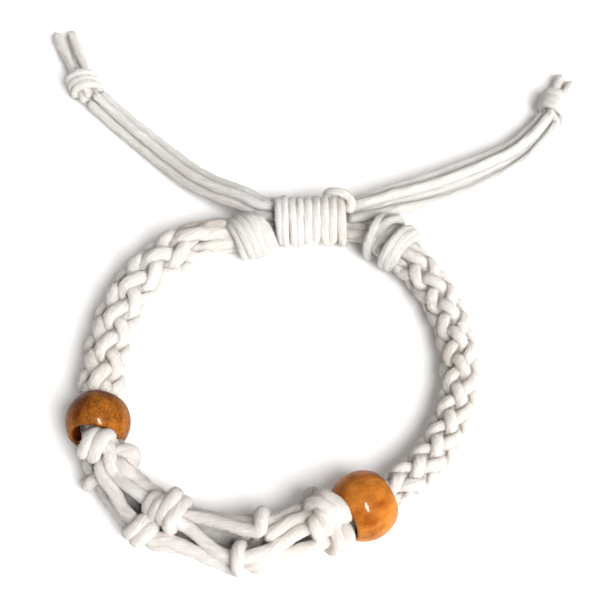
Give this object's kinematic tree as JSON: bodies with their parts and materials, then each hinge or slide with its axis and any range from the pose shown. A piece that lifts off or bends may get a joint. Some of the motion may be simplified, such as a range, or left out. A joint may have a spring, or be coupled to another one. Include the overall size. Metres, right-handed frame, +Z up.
{
  "type": "adjustable cord bracelet",
  "caption": "Adjustable bracelet of braided off-white cotton cord with round wooden beads, an open knotted net between them and a sliding wrapped knot.",
  "frame": {"origin": "bottom centre of the loop's box, without the loose tails", "axes": "+Z up from the surface it lies on, +Y towards the sliding knot and the tails, +X to the right as seen from the net's side"},
  "size_m": [0.0906, 0.1011, 0.0106],
  "materials": {
    "cord": "natural off-white twisted cotton, matt",
    "wood": "stained amber brown, lacquered"
  },
  "bodies": {
    "root": {"bead_left": "wood", "bead_right": "wood", "braid_left_strand_1": "cord", "braid_left_strand_2": "cord", "braid_left_strand_3": "cord", "braid_left_strand_4": "cord", "braid_left_strand_5": "cord", "braid_left_strand_6": "cord", "braid_left_strand_7": "cord", "braid_left_strand_8": "cord", "braid_right_strand_1": "cord", "braid_right_strand_2": "cord", "braid_right_strand_3": "cord", "braid_right_strand_4": "cord", "braid_right_strand_5": "cord", "braid_right_strand_6": "cord", "braid_right_strand_7": "cord", "braid_right_strand_8": "cord", "net": "cord", "knot_left": "cord", "knot_right": "cord", "sliding_knot": "cord", "closure_core": "cord", "tail_left_strand_1": "cord", "tail_left_strand_2": "cord", "tail_left_strand_3": "cord", "tail_left_strand_4": "cord", "tail_right_strand_1": "cord", "tail_right_strand_2": "cord", "tail_right_strand_3": "cord", "tail_right_strand_4": "cord", "end_knot_left": "cord", "end_knot_right": "cord"}
  },
  "joints": []
}
